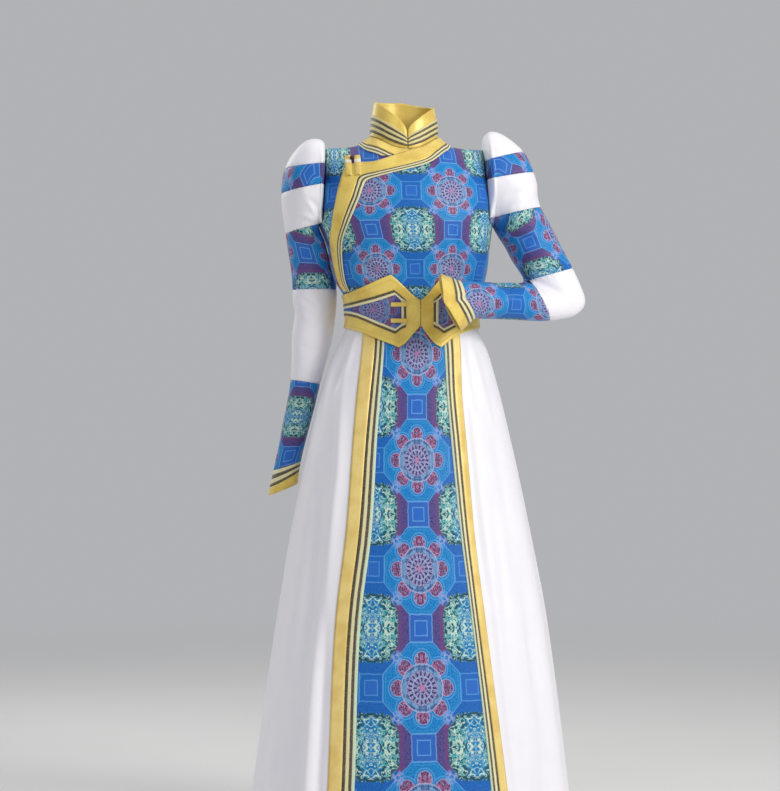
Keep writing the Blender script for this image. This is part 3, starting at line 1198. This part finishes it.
def build_skirt(materials):
    downs = np.concatenate([np.linspace(WAIST, 0.45, 22)[:-1], np.linspace(0.45, HEM, 90)])
    rows = []
    for down in downs:
        turned = [angle_at(x, down) for x in panel_edges(down)]
        angles = []
        for a, b, count in zip(turned, turned[1:], SKIRT_CELLS):
            angles += [a + (b - a) * i / count for i in range(count)]
        cells = 2 * GORE_CELLS + BACK_CELLS
        way = 2 * math.pi - (turned[-1] - turned[0])
        angles += [turned[-1] + way * i / cells for i in range(cells + 1)]
        rows.append([body_point(a, down) for a in angles])
    points = np.array(rows)
    cloth = np.zeros(points.shape[:2] + (2,))
    along = arc(points)
    for i, down in enumerate(downs):
        xs = points[i, : sum(SKIRT_CELLS) + 1, 0]
        centre = np.interp(down, *zip(*SKIRT_CENTRE))
        zero = np.interp(centre, xs, along[i, : len(xs)])
        cloth[i, :, 0] = (along[i] - zero) / np.interp(down, *zip(*SKIRT_STEP))
        cloth[i, :, 1] = np.interp(down, *zip(*SKIRT_ROWS))
    skirt = Sheet(points, cloth, (0, 0, -0.7), ring=True).creased(SKIRT_CREASES)
    panel = sum(SKIRT_CELLS)
    cloth_piece("skirt_front_panel", skirt.patch(columns=(0, panel)), materials["brocade"], "blue_brocade")
    metres = np.stack([along, np.broadcast_to(downs[:, None], along.shape)], -1)
    plain = Sheet(skirt.points, metres, (0, 0, -0.7), ring=True)
    for name, first, last in (
        ("skirt_gore_left", panel, panel + GORE_CELLS),
        ("skirt_back", panel + GORE_CELLS, panel + GORE_CELLS + BACK_CELLS),
        ("skirt_gore_right", panel + GORE_CELLS + BACK_CELLS, panel + 2 * GORE_CELLS + BACK_CELLS),
    ):
        cloth_piece(name, plain.patch(columns=(first, last)), materials["white"], "white_satin")
    marks = np.cumsum((0,) + SKIRT_CELLS)
    for name, k, material, slot, mirrored in (
        ("skirt_gold_right", 0, "skirt_gold", "gold_satin", False),
        ("skirt_ribbon_right", 1, "skirt_ribbon", "striped_ribbon", False),
        ("skirt_ribbon_left", 3, "skirt_ribbon", "striped_ribbon", True),
        ("skirt_gold_left", 4, "skirt_gold", "gold_satin", True),
    ):
        first, last = marks[k], marks[k + 1]
        strip = skirt.points[:, first : last + 1]
        shares = np.linspace(0, 1, last - first + 1)
        if mirrored:
            shares = shares[::-1]
        places = np.stack(
            [np.broadcast_to(downs[:, None], strip.shape[:2]), np.broadcast_to(shares, strip.shape[:2])], -1
        )
        band = Sheet(strip, places, (0, 0, -0.7))
        cloth_piece(name, band.patch(), materials[material], slot, TRIM, ON_PANEL)


# Belt


def belt_stations():
    """The belt's columns as an angle and its six heights, from the front round the wearer's right."""
    right = [(angle_at(row[0], WAIST), row[1:]) for row in BELT_LEFT]
    left = [(angle_at(row[0], WAIST), row[1:]) for row in reversed(BELT_RIGHT)]
    start, end = right[-1][0], left[0][0] - 2 * math.pi
    rounds = []
    for i in range(1, BELT_BACK_CELLS):
        share = i / BELT_BACK_CELLS
        near = min(share, 1 - share) * BELT_BACK_CELLS / 4
        ends = right[-1][1] if share < 0.5 else left[0][1]
        heights = [e + (r - e) * min(1, near) for e, r in zip(ends, BELT_ROUND[1:])]
        rounds.append((start + (end - start) * share, heights))
    return right + rounds + [(a - 2 * math.pi, h) for a, h in left]


def belt_strip(stations, first, last, across, steps, ends=(0, None)):
    """A strip of the belt between two of its edges."""
    chosen = stations[ends[0] : ends[1]]
    columns = []
    for (a0, h0), (a1, h1) in zip(chosen, chosen[1:]):
        for i in range(steps):
            s = i / steps
            columns.append((a0 + (a1 - a0) * s, h0[first] + (h1[first] - h0[first]) * s,
                            h0[last] + (h1[last] - h0[last]) * s))
    angle, heights = chosen[-1]
    columns.append((angle, heights[first], heights[last]))
    rows = []
    for share in np.linspace(0, 1, across):
        rows.append([body_point(a, top + (low - top) * share) for a, top, low in columns])
    return np.array(rows)


def build_belt(materials):
    stations = belt_stations()
    points = belt_strip(stations, 0, 5, 37, 8)
    belt = Sheet(points, band_cloth(points), (0, 0, -0.32))
    cloth_piece("belt", belt.patch(), materials["gold"], "gold_satin", 0.0016, ON_WAIST)
    ends = (3, -3)
    upper = belt_strip(stations, 1, 2, 5, 8, ends)
    lower = belt_strip(stations, 3, 4, 5, 8, ends)
    strips = []
    for strip in (upper, lower[::-1]):
        strips.append(Sheet(strip, band_cloth(strip), (0, 0, -0.32)).patch())
    for cut in (slice(3, 5), slice(-5, -3)):
        pair = stations[cut]
        side = belt_strip(pair, 1, 4, 37, 6).transpose(1, 0, 2)
        if cut.start < 0:
            side = side[::-1]
        strips.append(Sheet(side, band_cloth(side), (0, 0, -0.32)).patch().moved(-0.0004))
    ribbon = join_patches(strips)
    ribbon.flat = (sum(s.flat[0] for s in strips), max(s.flat[1] for s in strips[:2]))
    cloth_piece("belt_ribbon", ribbon, materials["belt_ribbon"], "striped_ribbon", TRIM, ON_WAIST + ON_BELT)
    points = belt_strip(stations, 2, 3, 21, 8, (4, -4))
    cloth = np.zeros(points.shape[:2] + (2,))
    along = arc(points)
    row = len(points) // 2
    front = points[row, :, 1] < -0.05
    nearest = np.argmin(np.where(front, abs(points[row, :, 0] - BELT_CENTRE[0]), 1))
    cloth[..., 0] = (along - along[row, nearest]) / 0.075
    cloth[..., 1] = (-points[..., 2] - BELT_CENTRE[1]) / 0.075
    field = Sheet(points, cloth, (0, 0, -0.32))
    out = ON_WAIST + ON_BELT
    cloth_piece("belt_field", field.patch(), materials["belt_brocade"], "belt_brocade", TRIM, out)
    for name, down in TAB_DOWNS.items():
        xs = np.linspace(*TAB_ENDS, 25)
        zs = np.linspace(-down + TAB_HALF_HEIGHT, -down - TAB_HALF_HEIGHT, 9)
        rows = []
        for k, z in enumerate(zs):
            off = abs(k - 4) / 4
            point = 0.0035 * (1 - off**2)
            shifts = point * np.maximum(0, np.arange(25) - 12) / 12
            rows.append([front_point(x, z) for x in xs + shifts])
        points = np.array(rows)
        tab = Sheet(points, band_cloth(points), (0, 0.02, -0.16))
        cloth_piece(name, tab.patch(), materials["gold"], "gold_satin", TRIM, ON_WAIST + 0.0034)


# Sleeves


def armhole_point(side, share):
    """A point of the armhole's edge: share 0 is the shoulder, a quarter the front, a half the underarm."""
    front = share <= 0.5
    along = share / 0.5 if front else (1 - share) / 0.5
    upper = 0.75
    if along < upper:
        point = upper_point(side * ARMHOLE_X_LOW, 1 - along / upper, -1 if front else 1)
    else:
        corner = angle_at(side * ARMHOLE_X_LOW, CHEST)
        angle = corner + (side * math.pi / 2 - corner) * (along - upper) / (1 - upper)
        point = body_point(angle if front else math.pi - angle, CHEST)
    return point + np.array([side * 0.0008, 0, 0.0004])


def sleeve_sheet(side, table, way):
    """The sleeve's sheet. Its first and last columns meet along the underarm."""
    shares = (np.arange(SLEEVE_SIDES + 1) / SLEEVE_SIDES + 0.5) % 1.0
    rings = [[armhole_point(side, s) for s in shares]]
    for row in table:
        inner_x, inner_z, outer_x, outer_z, centre_y, half_depth, turn, point = row
        outer = np.array([outer_x, centre_y, outer_z])
        inner = np.array([inner_x, centre_y, inner_z])
        middle = (outer + inner) / 2
        lean = math.radians(turn)
        deep = np.array([math.sin(lean), -math.cos(lean), 0]) * half_depth
        ring = []
        for share in shares:
            a = 2 * math.pi * share
            peak = max(0.0, 1 - abs(a - math.pi / 2) / (math.pi / 2))
            round_it = (outer - middle) * math.cos(a) + deep * math.sin(a)
            ring.append(middle + round_it + np.array(way) * point * peak)
        rings.append(ring)
    rings = np.array(rings)
    stations = np.arange(len(rings))
    fine = np.linspace(0, len(rings) - 1, SLEEVE_STEPS * (len(rings) - 1) + 1)
    flat = rings.reshape(len(rings), -1)
    made = np.stack([smooth(stations, flat[:, k], fine) for k in range(flat.shape[1])], 1)
    return made.reshape(len(fine), len(shares), 3)


def seam_plane(seam):
    x0, z0, x1, z1 = seam
    way = np.array([z1 - z0, 0, -(x1 - x0)]) * (1 if x1 > x0 else -1)
    return np.array([x0, 0, z0]), unit(way)


def gathered(points, normals, seams):
    """Draws the sleeve in along its seams and puts small uneven puckers beside them."""
    out = np.zeros(points.shape[:2])
    turn = np.linspace(0, 2 * math.pi, points.shape[1])
    for k, seam in enumerate(seams):
        origin, way = seam_plane(seam)
        far = np.abs((points - origin) @ way)
        near = points[:, :, 2] * 0 + 1
        if k == 4 and seam[0] > 0:
            near = (points[:, :, 0] > 0.2).astype(float)
        out -= 0.0011 * np.exp(-((far / 0.0035) ** 2)) * near
        pucker = np.sin(23 * turn + 2 * k) * 0.6 + np.sin(37 * turn + 5 * k) * 0.4
        out += 0.0006 * np.exp(-((far / 0.011) ** 2)) * pucker[None, :] * near
    return points + normals * out[..., None]


def build_sleeve(name, side, table, seams, creases, materials):
    points = sleeve_sheet(side, table, CUFF_WAY[name])
    middles = points.mean(1, keepdims=True)
    first = Sheet(points, np.zeros(points.shape[:2] + (2,)), (0, 0, 0), ring=True)
    if ((points - middles) * first.normals).sum() < 0:
        first.normals = -first.normals
    points = gathered(points, first.normals, seams)
    around = arc(points)
    around -= around[:, -1:] / 2
    mids = points.mean(1)
    along = np.concatenate([[0], np.cumsum(np.linalg.norm(np.diff(mids, axis=0), axis=1))])
    metres = np.stack([around, np.broadcast_to(along[:, None], around.shape)], -1)
    sheet = Outward(points, metres).creased(creases)
    for k, block in enumerate(BLOCKS):
        low, high = (SLEEVE_STEPS * r for r in BLOCK_ROWS[name][k])
        brocaded = block.endswith("brocade")
        if brocaded:
            x, z, u, v = BLOCK_ANCHORS[name, block]
            flat, facing = sheet.points.reshape(-1, 3), sheet.normals.reshape(-1, 3)[:, 1]
            place = nearest(flat, facing, x, z, 0)
            start = metres.reshape(-1, 2)[np.argmin(np.linalg.norm(flat - place, axis=1))]
            places = (metres - start) / np.array(SLEEVE_STEP) + np.array([u, v])
        else:
            places = metres
        sheet.cloth = np.concatenate([places, metres], -1)
        patch = sheet.patch(rows=(low, high))
        if k > 0:
            origin, way = seam_plane(seams[k - 1])
            patch = patch.clipped(origin, way)
        if k < len(seams):
            origin, way = seam_plane(seams[k])
            patch = patch.clipped(origin, -way)
        material = materials["sleeve_brocade" if brocaded else "white"]
        slot = "blue_brocade" if brocaded else "white_satin"
        cloth_piece(f"sleeve_{name}_{block}", patch, material, slot)
    first, second, third = (SLEEVE_STEPS * r for r in CUFF_ROWS[name])
    for piece, low, high, material, slot in (
        ("ribbon", first, second, "ribbon", "striped_ribbon"),
        ("gold", second, third, "gold", "gold_satin"),
    ):
        part = sheet.points[low : high + 1]
        shares = np.linspace(1, 0, high - low + 1)[:, None]
        sheet.cloth = np.zeros(sheet.points.shape[:2] + (2,))
        sheet.cloth[low : high + 1, :, 0] = arc(part)[len(part) // 2]
        sheet.cloth[low : high + 1, :, 1] = shares
        cloth_piece(f"cuff_{name}_{piece}", sheet.patch(rows=(low, high)), materials[material], slot)


class Outward(Sheet):
    """A sleeve's sheet, whose normals point away from each ring's own middle."""

    def __init__(self, points, cloth):
        super().__init__(points, cloth, (0, 0, 0), ring=True)

    def measure(self):
        super().measure()
        middles = self.points.mean(1, keepdims=True)
        if ((self.points - middles) * self.normals).sum() < 0:
            self.normals = -self.normals
            self.flipped = not self.flipped


# Frog closure

FROG_X = {"frog_loop_outer": -0.1129, "frog_loop_inner": -0.0955}
FROG_TOP_Z = -0.0235
FROG_LOW_Z = -0.0620
FROG_HALF_WIDTH = 0.0042
FROG_OUT = 0.0052
KNOT_PLACE = (-0.1045, -0.0300)
KNOT_RADIUS = 0.0043


def build_frog(materials):
    for name, middle in FROG_X.items():
        rows = []
        zs = np.linspace(FROG_TOP_Z, FROG_LOW_Z, 33)
        for i, z in enumerate(zs):
            end = min(i, 32 - i) / 5
            half = FROG_HALF_WIDTH * math.sqrt(max(0.12, 1 - max(0, 1 - end) ** 2))
            row = []
            for j in range(13):
                share = j / 6 - 1
                point = front_point(middle + half * share, z)
                row.append(point + np.array([0, -0.0014 * (1 - share * share), 0]))
            rows.append(row)
        points = np.array(rows)
        cloth = np.zeros(points.shape[:2] + (2,))
        cloth[..., 0] = np.linspace(0, 0.04, 33)[:, None]
        cloth[..., 1] = np.linspace(0, 1, 13)
        loop = Sheet(points, cloth, (0, 0.02, -0.16))
        piece = shell(name, loop.patch(), 0.0012, materials["loop"], FROG_OUT)
        wear(piece, "gold_satin", name)
    seat = front_point(*KNOT_PLACE)
    along = front_point(KNOT_PLACE[0] + 0.002, KNOT_PLACE[1]) - seat
    up = front_point(KNOT_PLACE[0], KNOT_PLACE[1] + 0.002) - seat
    centre = seat + unit(np.cross(along, up)) * (KNOT_RADIUS + 0.0031)
    rows, cloth = [], []
    for i in range(25):
        high = -math.pi / 2 + math.pi * i / 24
        row = []
        for j in range(33):
            a = 2 * math.pi * j / 32
            far = KNOT_RADIUS * (1 + 0.09 * math.sin(3 * a + 5 * high))
            way = (math.cos(high) * math.cos(a), math.cos(high) * math.sin(a), math.sin(high))
            row.append(centre + far * np.array(way))
        rows.append(row)
        cloth.append([(j / 32 * 0.02, i / 24 * 0.01) for j in range(33)])
    knot = Sheet(rows, cloth, centre, ring=True)
    piece = shell("frog_knot", knot.patch(), 0.0006, materials["knot"])
    wear(piece, "knot_cord", "frog_knot")


# Declarations, stage, light and camera


def declare_sheets():
    """Each cloth piece's cut: its longest run each way and its area. A tapered piece of much less
    area than that is laid out as two halves, head to tail, in a narrower box."""
    for piece, patch in SHEETS:
        area = surface_area(patch)
        wide, long = (max(SMALLEST_CUT, size) for size in patch.flat)
        long = min(max(long, area / wide), area / (wide * LEAST_SHARE))


def build_stage():
    """A wide pale floor that fades into the studio's own even tone, so that no edge of it shows."""
    low = -HEM - 0.012
    corners = ((-1, -1), (1, -1), (1, 1), (-1, 1))
    points = [(x * FLOOR_REACH, y * FLOOR_REACH, low) for x, y in corners]
    data = bpy.data.meshes.new("floor")
    data.from_pydata(points, [], [(0, 1, 2, 3)])
    g = Graph("pale floor")
    tone = g.mix(g.noise(3.0, 3.0), colour("E2E1DF"), colour("E8E7E5"))
    g.finish(tone, g.noise(40.0, 2.0), 0.02, roughness=0.8)
    where = g.add("ShaderNodeTexCoord")
    length = g.add("ShaderNodeVectorMath")
    length.operation = "LENGTH"
    g.link(where.outputs["Object"], length.inputs[0])
    glow = g.add("ShaderNodeEmission")
    glow.inputs["Color"].default_value = STUDIO_TONE
    glow.inputs["Strength"].default_value = STUDIO_STRENGTH
    both = g.add("ShaderNodeMixShader")
    g.link(g.below(length.outputs["Value"], *FLOOR_FADE), both.inputs[0])
    g.link(glow.outputs[0], both.inputs[1])
    g.link(g.shader.outputs[0], both.inputs[2])
    g.link(both.outputs[0], g.material.node_tree.nodes["Material Output"].inputs["Surface"])
    data.uv_layers.new(name="cloth")
    data.materials.append(g.material)
    floor = bpy.data.objects.new("floor", data)
    bpy.context.collection.objects.link(floor)


def lamp(name, place, aim, size, power, tint=(1, 1, 1)):
    data = bpy.data.lights.new(name, "AREA")
    data.shape = "RECTANGLE"
    data.size, data.size_y = size
    data.energy = power
    data.color = tint
    made = bpy.data.objects.new(name, data)
    made.location = place
    way = np.array(aim, float) - np.array(place, float)
    made.rotation_euler = rotation(way)
    bpy.context.collection.objects.link(made)


def rotation(way):
    """The turn that points a camera or lamp along way."""
    flat = math.hypot(way[0], way[1])
    return (math.pi / 2 + math.atan2(way[2], flat), 0.0, math.atan2(-way[0], way[1]))


def build_light():
    world = bpy.data.worlds.new("studio")
    world.use_nodes = True
    back = world.node_tree.nodes["Background"]
    back.inputs["Color"].default_value = STUDIO_TONE
    back.inputs["Strength"].default_value = STUDIO_STRENGTH
    bpy.context.scene.world = world
    bpy.context.scene.view_settings.view_transform = "Standard"
    lamp("key", (2.5, -2.8, 1.2), (0, 0, -0.45), (1.3, 1.3), 96, (1.0, 0.985, 0.96))
    lamp("fill", (-2.2, -2.6, 0.3), (0, 0, -0.6), (2.0, 2.2), 9, (0.93, 0.95, 1.0))
    lamp("top", (0.0, 0.4, 2.6), (0, 0, -0.2), (2.0, 2.0), 20)
    lamp("rim", (-1.6, 2.0, 0.9), (0, 0, -0.3), (1.2, 1.6), 16)


def build_camera():
    way = np.array([-math.sin(CAMERA_TURN), math.cos(CAMERA_TURN), 0.0])
    data = bpy.data.cameras.new("camera")
    data.sensor_width = SENSOR
    data.lens = SENSOR * CAMERA_FAR / (PHOTO[1] * PIXEL)
    data.dof.use_dof = False
    data.clip_end = 50
    made = bpy.data.objects.new("camera", data)
    made.location = np.array(CAMERA_AIM) - way * CAMERA_FAR
    made.rotation_euler = rotation(way)
    bpy.context.collection.objects.link(made)
    bpy.context.scene.camera = made


def main():
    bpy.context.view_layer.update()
    materials = make_materials()
    build_bodice(materials)
    build_collar(materials)
    build_neck_bands(materials)
    build_overlap_bands(materials)
    build_frog(materials)
    build_skirt(materials)
    build_belt(materials)
    build_sleeve("right", -1, RIGHT_SLEEVE, RIGHT_SEAMS, RIGHT_CREASES, materials)
    build_sleeve("left", 1, LEFT_SLEEVE, LEFT_SEAMS, LEFT_CREASES, materials)
    declare_sheets()
    build_stage()
    build_light()
    build_camera()


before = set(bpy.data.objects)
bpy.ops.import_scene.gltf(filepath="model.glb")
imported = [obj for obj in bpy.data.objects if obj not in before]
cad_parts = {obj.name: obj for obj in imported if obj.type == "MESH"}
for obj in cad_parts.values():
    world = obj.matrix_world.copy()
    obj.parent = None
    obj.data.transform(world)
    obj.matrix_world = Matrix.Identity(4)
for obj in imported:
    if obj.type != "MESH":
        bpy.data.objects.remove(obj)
main()
